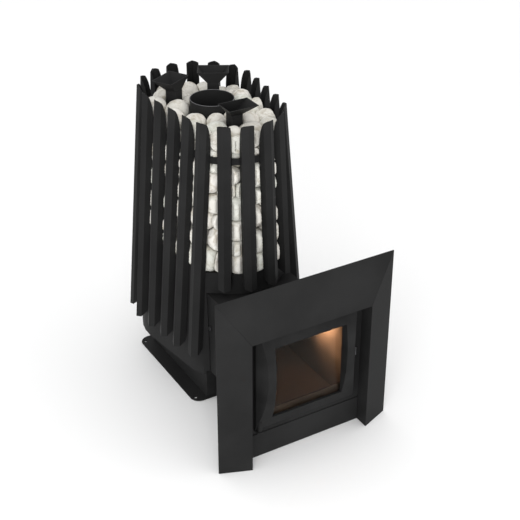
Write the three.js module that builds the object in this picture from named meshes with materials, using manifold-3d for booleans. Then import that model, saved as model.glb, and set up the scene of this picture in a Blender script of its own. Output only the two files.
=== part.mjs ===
// Wood-fired sauna stove: slatted stone basket, fire tunnel, and a portal with a glazed fire door.
// Millimetres, +Z up, the fire door faces -Y. The origin is on the floor, under the flue's axis.
import * as THREE from "three";
import { mergeVertices } from "three/addons/utils/BufferGeometryUtils.js";
import Module from "manifold-3d";

const wasm = await Module();
wasm.setup();

// Fits
const GAP = 0.3; // between faces that touch
const LOOSE_FIT = 1.5; // beside a piece that slides or drops in
const PIN_CLEARANCE = 0.4; // around a hinge pin
const CUT_CLEARANCE = 3; // around what passes through a cut-out
const OVERCUT = 20; // how far a cutting solid runs past the piece that it cuts

// Slats of the stone basket
const SLAT_COUNT = 21;
const SLAT_TOP_Z = 833;
const SLAT_FOOT_Z = 157;
const SHORT_SLAT_FOOT_Z = 367;
const SLAT_WIDTH = 34;
const SLAT_DEPTH = 28;
const SLAT_SHOULDER = 8; // depth of the folded nose, from the ridge to the straight sides
const SLAT_SHEET = 2.5;
const SLAT_TOP_DROP = 94; // fall of the bowed top, from the ridge to the inner edges
const SLAT_FOOT_RISE = 20; // rise of the slanted foot, from the ridge to the inner edges
const SPLAY = THREE.MathUtils.degToRad(2.77); // all slats lean out towards the floor
const FLANK_SPLAY = THREE.MathUtils.degToRad(2.1); // those on the flanks lean further sideways
const FLANK_FROM = 0.6; // sideways share of a slat's facing at which the flanks begin
const FLANK_FULL = 0.88;

// Plan of the basket, along the slats' ridges at their tops
const BACK_RADIUS = 162.6;
const BACK_CENTRE_Y = 80;
const FRONT_RADIUS = 138.5;
const FRONT_CENTRE_Y = -112;

// Ring band that ties the slats together
const RING_HEIGHT = 18;
const RING_SHEET = 3;
const RING_BELOW_TOPS = 2; // under the slats' inner top corners

// Outer jacket
const JACKET_FOOT_Z = 88;
const JACKET_TOP_Z = 410;
const JACKET_SHEET = 2.5;
const JACKET_INSET = 5; // how far its straight skirt stands in behind the slats' feet

// Base plate
const PLATE_WIDTH = 350;
const PLATE_FRONT_Y = -187;
const PLATE_BACK_Y = 180;
const PLATE_THICK = 4;
const PLATE_CORNER = 28;
const FLOOR_BOLT_HOLE = 9;
const FLOOR_BOLT_INSET_X = 13;
const FLOOR_BOLT_INSET_Y = 21;

// Pedestal, the ash housing under the firebox
const PEDESTAL_WIDTH = 268;
const PEDESTAL_SETBACK = 4; // behind the base plate's front edge
const PEDESTAL_BACK_Y = 160;
const PEDESTAL_HEIGHT = 91.4;
const PEDESTAL_SHEET = 3;

// Fire tunnel and its bolts
const TUNNEL_WIDTH = 250;
const TUNNEL_HEIGHT = 249;
const TUNNEL_SHEET = 4;
const TUNNEL_BOLT_HEAD = 14;
const TUNNEL_BOLT_HEIGHT = 6;
const TUNNEL_BOLT_Y = -201;
const TUNNEL_BOLT_Z = 244;

// Firebox
const FIREBOX_WIDTH = 244;
const FIREBOX_FRONT_Y = -140;
const FIREBOX_WALL = 6;
const FIREBOX_FLOOR = 4;
const FIREBOX_JAMB = 6; // beside the fire's mouth
const SHELF_BELOW_RIM = 10; // the stone shelf lies inside the jacket's upper rim
const SHELF_THICK = 4;
const GRATE_WIDTH = 184;
const GRATE_LENGTH = 240;
const GRATE_THICK = 16;
const GRATE_CENTRE_Y = 10;
const GRATE_SLOTS = 7;
const GRATE_SLOT_WIDTH = 13;
const GRATE_RIM = 14;
const GRATE_LAP = 8; // how far the grate lies on the firebox floor

// Heat chamber over the firebox, its baffle and the flue stub
const CHAMBER_WIDTH = 140;
const CHAMBER_BACK_Y = 30;
const CHAMBER_FRONT_Y = -30;
const CHAMBER_HEIGHT = 196;
const CHAMBER_WALL = 5;
const CHAMBER_LID = 5;
const BAFFLE_LEDGE = 7;
const BAFFLE_THICK = 4;
const BAFFLE_FRONT_Y = -20;
const FLUE_BORE = 115;
const FLUE_SHEET = 2;
const FLUE_RIM_Z = 815;

// Water funnels and the steam ducts under them
const FUNNEL_RIM_Z = 845;
const FUNNEL_HEIGHT = 30;
const FUNNEL_LENGTH = 86;
const FUNNEL_BREADTH = 62;
const FUNNEL_SHEET = 2;
const SPIGOT_LENGTH = 20;
const STEAM_DUCT_WIDTH = 32;
const STEAM_DUCT_SHEET = 2;
const STEAM_DUCT_REACH = 120; // from the flue's axis to a duct's
const FRONT_FUNNEL_REACH = 141; // from the flue's axis to the middle of the rim
const BACK_FUNNEL_REACH = 130;
const BACK_FUNNEL_ANGLE = THREE.MathUtils.degToRad(30); // to each side of the back

// Stones
const STONE_RADIUS = 32;
const STONE_PITCH = 62;
const STONE_ROW = 54;
const STONE_CLEARANCE = 5; // between the stones and the slats
const STONE_CORE_TOP_Z = 768;
const STONE_HEAP_RISE = 8; // of the top stones' centres over the core
const STONE_SINK = 6; // how far the core reaches behind the stones' centres

// Portal
const PORTAL_WIDTH = 521;
const PORTAL_HEIGHT = 514;
const PORTAL_EDGE_Y = -481;
const PORTAL_RISE = 32; // the inner edges stand this far in front of the outer ones
const PORTAL_OPENING_WIDTH = 355;
const PORTAL_OPENING_TOP_Z = 388;
const PORTAL_RETURN = 43;
const PORTAL_SHEET = 3;

// Tunnel collar, the flange that carries portal, door and drawer
const COLLAR_WIDTH = 400;
const COLLAR_FOOT_Z = 3;
const COLLAR_TOP_Z = 412;
const COLLAR_THICK = 4;

// Fire door
const DOOR_WIDTH = 302;
const DOOR_FOOT_Z = 97;
const DOOR_TOP_Z = 378;
const DOOR_STANDOFF = 2; // from the portal's back plane to the door's back
const DOOR_CROWN = 40; // depth of the frame at the top of its bow
const DOOR_BOW_RADIUS = 446;
const DOOR_BOW_CENTRE_Z = 262;
const DOOR_RIDGE_WIDTH = 260; // between the two ridges of the front
const DOOR_EDGE_DEPTH = 12; // of the frame at its outer edges
const DOOR_HEEL = 4; // bevel of the back edge beside the hinge
const WINDOW_WIDTH = 214;
const WINDOW_FOOT_Z = 130;
const WINDOW_TOP_Z = 350;
const GLASS_THICK = 4;
const GLASS_LAP = 10;
const GLASS_SEAT_DEPTH = 11.8; // from the frame's back to the seat
const RETAINER_THICK = 5;
const RETAINER_TOP_HEIGHT = 9;
const RETAINER_FOOT_HEIGHT = 30;
const GASKET_WIDTH = 9;
const GASKET_GROOVE = 6;
const GASKET_FROM_SIDE = 13;
const GASKET_FROM_END = 5;

// Hinge and catch
const HINGE_INSET = 10; // from the door's left edge
const HINGE_DEPTH = 14; // in front of the door's back
const PIN_DIAMETER = 6;
const PIN_ENGAGEMENT = 14;
const PIN_HEAD = 2; // what stands out past the bracket
const BOSS_DIAMETER = 14;
const BOSS_HEIGHT = 31;
const BRACKET_GAP = 2;
const BRACKET_THICK = 4;
const BRACKET_WIDTH = 18;
const CATCH_GAP = 2;
const CATCH_WIDTH = 7;
const CATCH_HEIGHT = 24;
const CATCH_REACH = 11;

// Ash drawer and the duct that it slides in
const DRAWER_FRONT_FOOT_Z = 2;
const DRAWER_FRONT_HEIGHT = 73;
const DRAWER_FRONT_THICK = 3;
const TRAY_WIDTH = 194;
const TRAY_HEIGHT = 57;
const TRAY_FOOT_Z = 9.5;
const TRAY_LENGTH = 600;
const TRAY_SHEET = 2;
const TRAY_CLEARANCE = 3; // beside and above the tray
const ASH_DUCT_SHEET = 2;

// Places that follow from the sizes above
const plateTopZ = PLATE_THICK;
const pedestalFootZ = plateTopZ + GAP;
const pedestalTopZ = pedestalFootZ + PEDESTAL_HEIGHT;
const pedestalFrontY = PLATE_FRONT_Y + PEDESTAL_SETBACK;
const tunnelFootZ = pedestalTopZ + GAP;
const tunnelTopZ = tunnelFootZ + TUNNEL_HEIGHT;
const floorTopZ = tunnelFootZ + FIREBOX_FLOOR;
const shelfZ = JACKET_TOP_Z - SHELF_BELOW_RIM;
const shelfTopZ = shelfZ + SHELF_THICK;
const chamberFootZ = shelfTopZ + GAP;
const chamberTopZ = chamberFootZ + CHAMBER_HEIGHT;
const lidTopZ = chamberTopZ + GAP + CHAMBER_LID;
const portalInnerY = PORTAL_EDGE_Y - PORTAL_RISE;
const portalBackY = portalInnerY + PORTAL_RETURN;
const collarFrontY = portalBackY + GAP;
const collarBackY = collarFrontY + COLLAR_THICK;
const doorBackY = portalBackY - DOOR_STANDOFF;
const doorCrownY = doorBackY - DOOR_CROWN;
const hingeX = -DOOR_WIDTH / 2 + HINGE_INSET;
const hingeY = doorBackY - HINGE_DEPTH;
const ashDuctWidth = TRAY_WIDTH + 2 * (TRAY_CLEARANCE + ASH_DUCT_SHEET);
const ashDuctFootZ = TRAY_FOOT_Z - LOOSE_FIT - ASH_DUCT_SHEET;
const ashDuctTopZ = TRAY_FOOT_Z + TRAY_HEIGHT + TRAY_CLEARANCE + ASH_DUCT_SHEET;

// Materials
const blackPaint = new THREE.MeshStandardMaterial({ color: 0x1f1f20, roughness: 0.5, metalness: 0.3 });
const bareSteel = new THREE.MeshStandardMaterial({ color: 0x3a3a3c, roughness: 0.45, metalness: 0.8 });
const castIron = new THREE.MeshStandardMaterial({ color: 0x2a2826, roughness: 0.8, metalness: 0.4 });
const paleStone = new THREE.MeshStandardMaterial({ color: 0xd9d5cb, roughness: 0.85, metalness: 0 });
const tintedGlass = new THREE.MeshStandardMaterial({
  color: 0x4a2d1e,
  roughness: 0.05,
  metalness: 0,
  transparent: true,
  opacity: 0.45,
});
const ropeSeal = new THREE.MeshStandardMaterial({ color: 0x2b2a29, roughness: 0.95, metalness: 0 });

const stove = new THREE.Group();

function addPiece(name, geometry, material) {
  const mesh = new THREE.Mesh(geometry, material);
  mesh.name = name;
  stove.add(mesh);
  return mesh;
}

// Solid geometry helpers
function toSolid(geometry) {
  const bare = geometry.index ? geometry.toNonIndexed() : geometry.clone();
  bare.deleteAttribute("normal");
  bare.deleteAttribute("uv");
  const merged = mergeVertices(bare, 1e-3);
  return new wasm.Manifold(
    new wasm.Mesh({
      numProp: 3,
      vertProperties: new Float32Array(merged.attributes.position.array),
      triVerts: new Uint32Array(merged.index.array),
    }),
  );
}

function toGeometry(solid) {
  const mesh = solid.getMesh();
  const geometry = new THREE.BufferGeometry();
  geometry.setAttribute("position", new THREE.BufferAttribute(mesh.vertProperties, 3));
  geometry.setIndex(new THREE.BufferAttribute(mesh.triVerts, 1));
  return geometry;
}

function block(x0, x1, y0, y1, z0, z1) {
  const box = new THREE.BoxGeometry(x1 - x0, y1 - y0, z1 - z0);
  return box.translate((x0 + x1) / 2, (y0 + y1) / 2, (z0 + z1) / 2);
}

function blockSolid(x0, x1, y0, y1, z0, z1) {
  return toSolid(block(x0, x1, y0, y1, z0, z1));
}

function polygon(points) {
  return new THREE.Shape(points.map(([x, y]) => new THREE.Vector2(x, y)));
}

function rectangle(x0, x1, y0, y1) {
  return polygon([
    [x0, y0],
    [x1, y0],
    [x1, y1],
    [x0, y1],
  ]);
}

function obround(radius, backY, frontY) {
  const shape = new THREE.Shape();
  shape.absarc(0, backY, radius, 0, Math.PI, false);
  shape.absarc(0, frontY, radius, Math.PI, 2 * Math.PI, false);
  return shape;
}

function circle(radius, x = 0, y = 0) {
  return new THREE.Shape().absarc(x, y, radius, 0, 2 * Math.PI, false);
}

// A shape in plan, standing from z0 to z1
function upright(shape, z0, z1, curveSegments = 10) {
  const options = { depth: z1 - z0, bevelEnabled: false, curveSegments };
  return new THREE.ExtrudeGeometry(shape, options).translate(0, 0, z0);
}

// A shape drawn in x and z, reaching from y0 to y1
function facingFront(shape, y0, y1) {
  const options = { depth: y1 - y0, bevelEnabled: false, curveSegments: 10 };
  return new THREE.ExtrudeGeometry(shape, options).rotateX(Math.PI / 2).translate(0, y1, 0);
}

// A shape drawn in y and z, reaching from x0 to x1
function crossways(shape, x0, x1) {
  const options = { depth: x1 - x0, bevelEnabled: false, curveSegments: 10 };
  const turn = new THREE.Matrix4().makeBasis(
    new THREE.Vector3(0, 1, 0),
    new THREE.Vector3(0, 0, 1),
    new THREE.Vector3(1, 0, 0),
  );
  return new THREE.ExtrudeGeometry(shape, options).applyMatrix4(turn).translate(x0, 0, 0);
}

// A skin through closed loops of equal count: it closes from the last loop to the first,
// or with capped set it ends in a flat face at both ends. Loops run counter-clockwise from above.
function loft(loops, capped = false) {
  const count = loops[0].length;
  const points = loops.flat();
  const faces = [];
  const spans = capped ? loops.length - 1 : loops.length;
  for (let i = 0; i < spans; i++) {
    const low = i * count;
    const high = ((i + 1) % loops.length) * count;
    for (let j = 0; j < count; j++) {
      const k = (j + 1) % count;
      faces.push(low + j, low + k, high + k, low + j, high + k, high + j);
    }
  }
  if (capped) {
    const last = (loops.length - 1) * count;
    for (let j = 1; j < count - 1; j++) {
      faces.push(0, j + 1, j, last, last + j, last + j + 1);
    }
  }
  const geometry = new THREE.BufferGeometry().setFromPoints(points);
  geometry.setIndex(faces);
  return geometry;
}

// Plan of the basket: a point and the outward normal at a distance along the ridge line,
// counted from the middle of the back, round the right side first
const taper = Math.asin((BACK_RADIUS - FRONT_RADIUS) / (BACK_CENTRE_Y - FRONT_CENTRE_Y));
const backArc = BACK_RADIUS * (Math.PI / 2 + taper);
const sideRun = Math.hypot(BACK_CENTRE_Y - FRONT_CENTRE_Y, 0) * Math.cos(taper);
const frontArc = FRONT_RADIUS * (Math.PI / 2 - taper);
const halfGirth = backArc + sideRun + frontArc;

function ridgeAt(distance) {
  const mirrored = distance > halfGirth;
  const run = mirrored ? 2 * halfGirth - distance : distance;
  const sideAngle = Math.PI / 2 + taper;
  let angle = sideAngle;
  let centreY = BACK_CENTRE_Y;
  let radius = BACK_RADIUS;
  let forward = 0;
  if (run < backArc) {
    angle = run / BACK_RADIUS;
  } else if (run < backArc + sideRun) {
    forward = run - backArc;
  } else {
    angle = sideAngle + (run - backArc - sideRun) / FRONT_RADIUS;
    centreY = FRONT_CENTRE_Y;
    radius = FRONT_RADIUS;
  }
  const normal = new THREE.Vector2(Math.sin(angle), Math.cos(angle));
  const point = new THREE.Vector2(0, centreY).addScaledVector(normal, radius);
  point.x -= forward * Math.sin(taper);
  point.y -= forward * Math.cos(taper);
  if (mirrored) {
    normal.x = -normal.x;
    point.x = -point.x;
  }
  return { point, normal };
}

// Shift of that line towards the floor, at a height
function splayAt(normal, z) {
  const drop = SLAT_TOP_Z - z;
  const flank = THREE.MathUtils.smoothstep(Math.abs(normal.x), FLANK_FROM, FLANK_FULL);
  const shift = normal.clone().multiplyScalar(drop * Math.tan(SPLAY));
  shift.x += Math.sign(normal.x) * flank * drop * Math.tan(FLANK_SPLAY);
  return shift;
}

// Each slat's top and its axes: across it, inwards from its ridge, and along it upwards
const slatPlaces = [];
for (let i = 0; i < SLAT_COUNT; i++) {
  const { point, normal } = ridgeAt((i * 2 * halfGirth) / SLAT_COUNT);
  const reach = splayAt(normal, 0);
  const along = new THREE.Vector3(-reach.x, -reach.y, SLAT_TOP_Z).normalize();
  const across = new THREE.Vector3(-normal.y, normal.x, 0);
  across.addScaledVector(along, -across.dot(along)).normalize();
  const inwards = new THREE.Vector3().crossVectors(along, across);
  const top = new THREE.Vector3(point.x, point.y, SLAT_TOP_Z);
  slatPlaces.push({ top, normal, across, inwards, along });
}

// Loop behind both inner edges of every slat, so that a band lies flat against each of them
function seatLoop(z, inset) {
  const loop = [];
  for (const { top, across, inwards, along } of slatPlaces) {
    for (const side of [1, -1]) {
      const edge = top.clone();
      edge.addScaledVector(inwards, SLAT_DEPTH + inset);
      edge.addScaledVector(across, (side * SLAT_WIDTH) / 2);
      edge.addScaledVector(along, (z - edge.z) / along.z);
      loop.push(edge);
    }
  }
  return loop.reverse();
}

// How far the jacket stands in from the slats' inner edges, wider towards their feet
function jacketInset(z) {
  const down = (JACKET_TOP_Z - z) / (JACKET_TOP_Z - SLAT_FOOT_Z);
  return GAP + JACKET_INSET * down;
}

function seatShape(z, inset) {
  return polygon(seatLoop(z, inset).map((p) => [p.x, p.y]));
}

// Base plate
const plateShape = new THREE.Shape();
const plateX = PLATE_WIDTH / 2 - PLATE_CORNER;
const plateFront = PLATE_FRONT_Y + PLATE_CORNER;
const plateBack = PLATE_BACK_Y - PLATE_CORNER;
plateShape.absarc(plateX, plateBack, PLATE_CORNER, 0, Math.PI / 2, false);
plateShape.absarc(-plateX, plateBack, PLATE_CORNER, Math.PI / 2, Math.PI, false);
plateShape.absarc(-plateX, plateFront, PLATE_CORNER, Math.PI, 1.5 * Math.PI, false);
plateShape.absarc(plateX, plateFront, PLATE_CORNER, 1.5 * Math.PI, 2 * Math.PI, false);
for (const side of [-1, 1]) {
  const x = side * (PLATE_WIDTH / 2 - FLOOR_BOLT_INSET_X);
  plateShape.holes.push(circle(FLOOR_BOLT_HOLE / 2, x, PLATE_FRONT_Y + FLOOR_BOLT_INSET_Y));
  plateShape.holes.push(circle(FLOOR_BOLT_HOLE / 2, x, PLATE_BACK_Y - FLOOR_BOLT_INSET_Y));
}
addPiece("base_plate", upright(plateShape, 0, plateTopZ, 4), blackPaint);

// Pedestal: four walls, with the drawer's slot in the front one
const pedestalX = PEDESTAL_WIDTH / 2;
const pedestalShape = rectangle(-pedestalX, pedestalX, pedestalFrontY, PEDESTAL_BACK_Y);
pedestalShape.holes.push(
  rectangle(
    -pedestalX + PEDESTAL_SHEET,
    pedestalX - PEDESTAL_SHEET,
    pedestalFrontY + PEDESTAL_SHEET,
    PEDESTAL_BACK_Y - PEDESTAL_SHEET,
  ),
);
const slotX = ashDuctWidth / 2 - ASH_DUCT_SHEET;
const slotFootZ = ashDuctFootZ + ASH_DUCT_SHEET;
const slotTopZ = ashDuctTopZ - ASH_DUCT_SHEET;
const pedestalSlot = blockSolid(
  -slotX,
  slotX,
  pedestalFrontY - OVERCUT,
  pedestalFrontY + OVERCUT,
  slotFootZ,
  slotTopZ,
);
const pedestalWalls = toSolid(upright(pedestalShape, pedestalFootZ, pedestalTopZ));
addPiece("pedestal", toGeometry(pedestalWalls.subtract(pedestalSlot)), blackPaint);

// Ash duct from the pedestal to the collar
const ashDuctShape = rectangle(-ashDuctWidth / 2, ashDuctWidth / 2, ashDuctFootZ, ashDuctTopZ);
ashDuctShape.holes.push(rectangle(-slotX, slotX, slotFootZ, slotTopZ));
addPiece("ash_duct", facingFront(ashDuctShape, collarBackY + GAP, pedestalFrontY - GAP), blackPaint);

// Firebox floor, with the opening that the grate covers
const floorShape = rectangle(-pedestalX, pedestalX, FIREBOX_FRONT_Y, PEDESTAL_BACK_Y);
const grateOpeningX = GRATE_WIDTH / 2 - GRATE_LAP;
const grateOpeningY = GRATE_LENGTH / 2 - GRATE_LAP;
floorShape.holes.push(
  rectangle(
    -grateOpeningX,
    grateOpeningX,
    GRATE_CENTRE_Y - grateOpeningY,
    GRATE_CENTRE_Y + grateOpeningY,
  ),
);
addPiece("firebox_floor", upright(floorShape, tunnelFootZ, floorTopZ), bareSteel);

// Grate
const grateFootZ = floorTopZ + GAP;
const grateFrontY = GRATE_CENTRE_Y - GRATE_LENGTH / 2;
const grateBackY = GRATE_CENTRE_Y + GRATE_LENGTH / 2;
let grate = blockSolid(
  -GRATE_WIDTH / 2,
  GRATE_WIDTH / 2,
  grateFrontY,
  grateBackY,
  grateFootZ,
  grateFootZ + GRATE_THICK,
);
const slotPitch = (GRATE_WIDTH - 2 * GRATE_RIM - GRATE_SLOT_WIDTH) / (GRATE_SLOTS - 1);
for (let i = 0; i < GRATE_SLOTS; i++) {
  const x = -GRATE_WIDTH / 2 + GRATE_RIM + i * slotPitch;
  const slot = blockSolid(
    x,
    x + GRATE_SLOT_WIDTH,
    grateFrontY + GRATE_RIM,
    grateBackY - GRATE_RIM,
    grateFootZ - OVERCUT,
    grateFootZ + GRATE_THICK + OVERCUT,
  );
  grate = grate.subtract(slot);
}
addPiece("grate", toGeometry(grate), castIron);

// Firebox wall: flat front and sides and a round back, with the fire's mouth in the front
function fireboxOutline(inset) {
  const shape = new THREE.Shape();
  shape.absarc(0, BACK_CENTRE_Y, FIREBOX_WIDTH / 2 - inset, 0, Math.PI, false);
  shape.lineTo(-FIREBOX_WIDTH / 2 + inset, FIREBOX_FRONT_Y + inset);
  shape.lineTo(FIREBOX_WIDTH / 2 - inset, FIREBOX_FRONT_Y + inset);
  return shape;
}

const fireboxTopZ = shelfZ - GAP;
const wallShape = fireboxOutline(0);
wallShape.holes.push(fireboxOutline(FIREBOX_WALL));
const wallSolid = toSolid(upright(wallShape, floorTopZ + GAP, fireboxTopZ));
const fireMouthX = FIREBOX_WIDTH / 2 - FIREBOX_WALL - FIREBOX_JAMB;
const fireMouth = blockSolid(
  -fireMouthX,
  fireMouthX,
  FIREBOX_FRONT_Y - OVERCUT,
  FIREBOX_FRONT_Y + FIREBOX_WALL + OVERCUT,
  floorTopZ - OVERCUT,
  tunnelTopZ - TUNNEL_SHEET,
);
addPiece("firebox_wall", toGeometry(wallSolid.subtract(fireMouth)), bareSteel);

// Stone shelf over the firebox, with a ledge for the baffle inside the chamber
const chamberRadius = CHAMBER_WIDTH / 2;
const chamberBore = chamberRadius - CHAMBER_WALL;
const shelfShape = seatShape(shelfTopZ, jacketInset(shelfTopZ) + JACKET_SHEET + GAP);
shelfShape.holes.push(obround(chamberBore - BAFFLE_LEDGE, CHAMBER_BACK_Y, CHAMBER_FRONT_Y));
addPiece("stone_shelf", upright(shelfShape, shelfZ, shelfTopZ, 6), bareSteel);

// Flame baffle: it leaves the front of the chamber open
const baffleRadius = chamberBore - LOOSE_FIT;
const baffleShape = new THREE.Shape();
baffleShape.absarc(0, CHAMBER_BACK_Y, baffleRadius, 0, Math.PI, false);
baffleShape.lineTo(-baffleRadius, BAFFLE_FRONT_Y);
baffleShape.lineTo(baffleRadius, BAFFLE_FRONT_Y);
addPiece("baffle", upright(baffleShape, chamberFootZ, chamberFootZ + BAFFLE_THICK, 6), bareSteel);

// Heat chamber, its lid and the flue stub
const chamberShape = obround(chamberRadius, CHAMBER_BACK_Y, CHAMBER_FRONT_Y);
chamberShape.holes.push(obround(chamberBore, CHAMBER_BACK_Y, CHAMBER_FRONT_Y));
addPiece("heat_chamber", upright(chamberShape, chamberFootZ, chamberTopZ, 8), bareSteel);
const lidShape = obround(chamberRadius, CHAMBER_BACK_Y, CHAMBER_FRONT_Y);
lidShape.holes.push(circle(FLUE_BORE / 2));
addPiece("chamber_lid", upright(lidShape, chamberTopZ + GAP, lidTopZ, 8), bareSteel);
const flueRadius = FLUE_BORE / 2 + FLUE_SHEET;
const flueShape = circle(flueRadius);
flueShape.holes.push(circle(FLUE_BORE / 2));
addPiece("flue_stub", upright(flueShape, lidTopZ + GAP, FLUE_RIM_Z, 16), blackPaint);

// Fire tunnel and its side bolts
const tunnelX = TUNNEL_WIDTH / 2;
const tunnelShape = rectangle(-tunnelX, tunnelX, tunnelFootZ, tunnelTopZ);
tunnelShape.holes.push(
  rectangle(
    -tunnelX + TUNNEL_SHEET,
    tunnelX - TUNNEL_SHEET,
    tunnelFootZ + TUNNEL_SHEET,
    tunnelTopZ - TUNNEL_SHEET,
  ),
);
addPiece("fire_tunnel", facingFront(tunnelShape, collarBackY + GAP, FIREBOX_FRONT_Y - GAP), blackPaint);
for (const [side, name] of [
  [-1, "tunnel_bolt_left"],
  [1, "tunnel_bolt_right"],
]) {
  const head = new THREE.CylinderGeometry(
    TUNNEL_BOLT_HEAD / 2,
    TUNNEL_BOLT_HEAD / 2,
    TUNNEL_BOLT_HEIGHT,
    6,
  );
  head.rotateZ(Math.PI / 2);
  head.translate(side * (tunnelX + GAP + TUNNEL_BOLT_HEIGHT / 2), TUNNEL_BOLT_Y, TUNNEL_BOLT_Z);
  addPiece(name, head, bareSteel);
}

// Jacket behind the slats, straight below their feet, cut out at the front for the tunnel and the pedestal
function skirtLoop(inset) {
  const loop = seatLoop(SLAT_FOOT_Z, jacketInset(SLAT_FOOT_Z) + inset);
  return loop.map((point) => point.setZ(JACKET_FOOT_Z));
}

const jacketSkin = loft([
  skirtLoop(0),
  seatLoop(SLAT_FOOT_Z, jacketInset(SLAT_FOOT_Z)),
  seatLoop(JACKET_TOP_Z, jacketInset(JACKET_TOP_Z)),
  seatLoop(JACKET_TOP_Z, jacketInset(JACKET_TOP_Z) + JACKET_SHEET),
  seatLoop(SLAT_FOOT_Z, jacketInset(SLAT_FOOT_Z) + JACKET_SHEET),
  skirtLoop(JACKET_SHEET),
]);
const jacketFrontY = FRONT_CENTRE_Y - FRONT_RADIUS - SLAT_TOP_Z * Math.tan(SPLAY);
const tunnelCutX = tunnelX + CUT_CLEARANCE;
const tunnelCut = blockSolid(
  -tunnelCutX,
  tunnelCutX,
  jacketFrontY,
  0,
  JACKET_FOOT_Z - OVERCUT,
  tunnelTopZ + CUT_CLEARANCE,
);
const pedestalCutX = pedestalX + CUT_CLEARANCE;
const pedestalCut = blockSolid(
  -pedestalCutX,
  pedestalCutX,
  jacketFrontY,
  0,
  JACKET_FOOT_Z - OVERCUT,
  pedestalTopZ + CUT_CLEARANCE,
);
addPiece("jacket", toGeometry(toSolid(jacketSkin).subtract(tunnelCut).subtract(pedestalCut)), blackPaint);

// Ring band
const ringTopZ = SLAT_TOP_Z - SLAT_TOP_DROP - RING_BELOW_TOPS;
const ringShape = seatShape(ringTopZ, GAP);
ringShape.holes.push(seatShape(ringTopZ, GAP + RING_SHEET));
addPiece("upper_ring", upright(ringShape, ringTopZ - RING_HEIGHT, ringTopZ), blackPaint);

// Slats: sheet folded to a blunt nose with straight sides; x runs across, y inwards from the ridge
const noseSlope = SLAT_SHOULDER / (SLAT_WIDTH / 2);
const noseInside = SLAT_SHEET * Math.hypot(1, noseSlope);
const slatTopSteps = 9;

function slatGeometry(length) {
  const outer = SLAT_WIDTH / 2;
  const inner = outer - SLAT_SHEET;
  const section = polygon([
    [-outer, SLAT_DEPTH],
    [-outer, SLAT_SHOULDER],
    [0, 0],
    [outer, SLAT_SHOULDER],
    [outer, SLAT_DEPTH],
    [inner, SLAT_DEPTH],
    [inner, noseInside + inner * noseSlope],
    [0, noseInside],
    [-inner, noseInside + inner * noseSlope],
    [-inner, SLAT_DEPTH],
  ]);
  const footSlope = SLAT_FOOT_RISE / SLAT_DEPTH;
  const side = [
    [-OVERCUT, -OVERCUT * footSlope],
    [SLAT_DEPTH + OVERCUT, (SLAT_DEPTH + OVERCUT) * footSlope],
    [SLAT_DEPTH + OVERCUT, length - SLAT_TOP_DROP],
  ];
  for (let i = slatTopSteps; i >= 0; i--) {
    const angle = (i * Math.PI) / 2 / slatTopSteps;
    side.push([SLAT_DEPTH * Math.sin(angle), length - SLAT_TOP_DROP * (1 - Math.cos(angle))]);
  }
  side.push([-OVERCUT, length]);
  const strip = toSolid(upright(section, -OVERCUT, length + OVERCUT));
  return toGeometry(strip.intersect(toSolid(crossways(polygon(side), -SLAT_WIDTH, SLAT_WIDTH))));
}

slatPlaces.forEach(({ top, normal, across, inwards, along }, i) => {
  const overTunnel = normal.y < 0 && Math.abs(top.x) + SLAT_WIDTH / 2 < tunnelCutX;
  const footZ = overTunnel ? SHORT_SLAT_FOOT_Z : SLAT_FOOT_Z;
  const length = (SLAT_TOP_Z - footZ) / along.z;
  const place = new THREE.Matrix4().makeBasis(across, inwards, along);
  place.setPosition(top.clone().addScaledVector(along, -length));
  const number = String(i + 1).padStart(2, "0");
  addPiece("slat_" + number, slatGeometry(length).applyMatrix4(place), blackPaint);
});

// Water funnels on square steam ducts
function squareLoop(halfX, halfY, z, middleY = 0) {
  return [
    new THREE.Vector3(-halfX, middleY - halfY, z),
    new THREE.Vector3(halfX, middleY - halfY, z),
    new THREE.Vector3(halfX, middleY + halfY, z),
    new THREE.Vector3(-halfX, middleY + halfY, z),
  ];
}

const funnelFootZ = FUNNEL_RIM_Z - FUNNEL_HEIGHT;
const ductTopZ = funnelFootZ - GAP;
const ductBore = STEAM_DUCT_WIDTH / 2 - STEAM_DUCT_SHEET;
const spigotOuter = ductBore - GAP;
const spigotInner = spigotOuter - FUNNEL_SHEET;
const funnelX = FUNNEL_LENGTH / 2;
const funnelY = FUNNEL_BREADTH / 2;

// The rim stands further out than the duct, by rimShift along the local y
function funnelGeometry(rimShift) {
  return loft([
    squareLoop(spigotOuter, spigotOuter, funnelFootZ - SPIGOT_LENGTH),
    squareLoop(spigotOuter, spigotOuter, funnelFootZ),
    squareLoop(STEAM_DUCT_WIDTH / 2, STEAM_DUCT_WIDTH / 2, funnelFootZ),
    squareLoop(funnelX, funnelY, FUNNEL_RIM_Z, rimShift),
    squareLoop(funnelX - FUNNEL_SHEET, funnelY - FUNNEL_SHEET, FUNNEL_RIM_Z, rimShift),
    squareLoop(spigotInner, spigotInner, funnelFootZ),
    squareLoop(spigotInner, spigotInner, funnelFootZ - SPIGOT_LENGTH),
  ]);
}

function steamDuctGeometry() {
  const shape = rectangle(
    -STEAM_DUCT_WIDTH / 2,
    STEAM_DUCT_WIDTH / 2,
    -STEAM_DUCT_WIDTH / 2,
    STEAM_DUCT_WIDTH / 2,
  );
  shape.holes.push(rectangle(-ductBore, ductBore, -ductBore, ductBore));
  return upright(shape, chamberFootZ, ductTopZ);
}

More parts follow.
